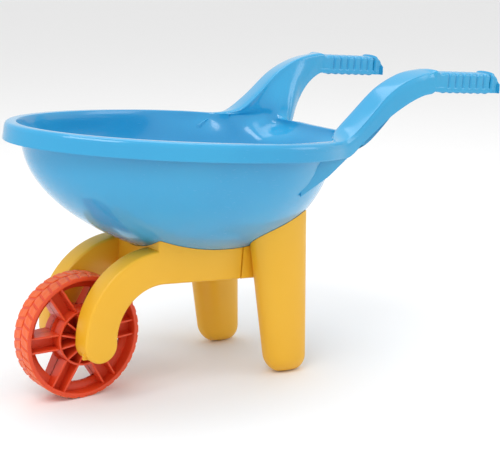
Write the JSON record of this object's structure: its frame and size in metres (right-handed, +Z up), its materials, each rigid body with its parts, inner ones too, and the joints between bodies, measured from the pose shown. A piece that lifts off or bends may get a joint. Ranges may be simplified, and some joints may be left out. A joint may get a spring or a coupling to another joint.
{
  "type": "toy wheelbarrow",
  "caption": "Child's moulded plastic wheelbarrow: deep oval tub with handles in one piece, a forked undercarriage with two legs, and a spoked wheel that turns freely on a steel axle",
  "frame": {"origin": "on the ground under the middle of the whole object's box", "axes": "+X from the wheel to the handles, +Y to the left of the child who pushes, +Z up"},
  "size_m": [0.6342, 0.3392, 0.3723],
  "materials": {
    "blue_plastic": "glossy moulded polypropylene",
    "yellow_plastic": "satin moulded polypropylene",
    "orange_plastic": "satin moulded polypropylene",
    "zinc_steel": "bright zinc plate"
  },
  "bodies": {
    "barrow": {"tub": "blue_plastic", "grip_insert_left": "blue_plastic", "grip_insert_right": "blue_plastic", "frame": "yellow_plastic", "leg_left": "yellow_plastic", "leg_right": "yellow_plastic", "axle_keeper_left": "yellow_plastic", "axle_keeper_right": "yellow_plastic", "axle": "zinc_steel", "keeper_screw_left": "zinc_steel", "keeper_screw_right": "zinc_steel", "tub_screw_front_left": "zinc_steel", "tub_screw_front_right": "zinc_steel", "tub_screw_rear_left": "zinc_steel", "tub_screw_rear_right": "zinc_steel", "leg_screw_front_left": "zinc_steel", "leg_screw_front_right": "zinc_steel", "leg_screw_rear_left": "zinc_steel", "leg_screw_rear_right": "zinc_steel"},
    "wheel": {"wheel": "orange_plastic"}
  },
  "joints": [
    {"name": "wheel_spin", "type": "hinge", "parent": "barrow", "child": "wheel", "pos_m": [-0.24059, 0, 0.075], "axis": [0, 1, 0], "continuous": true}
  ]
}
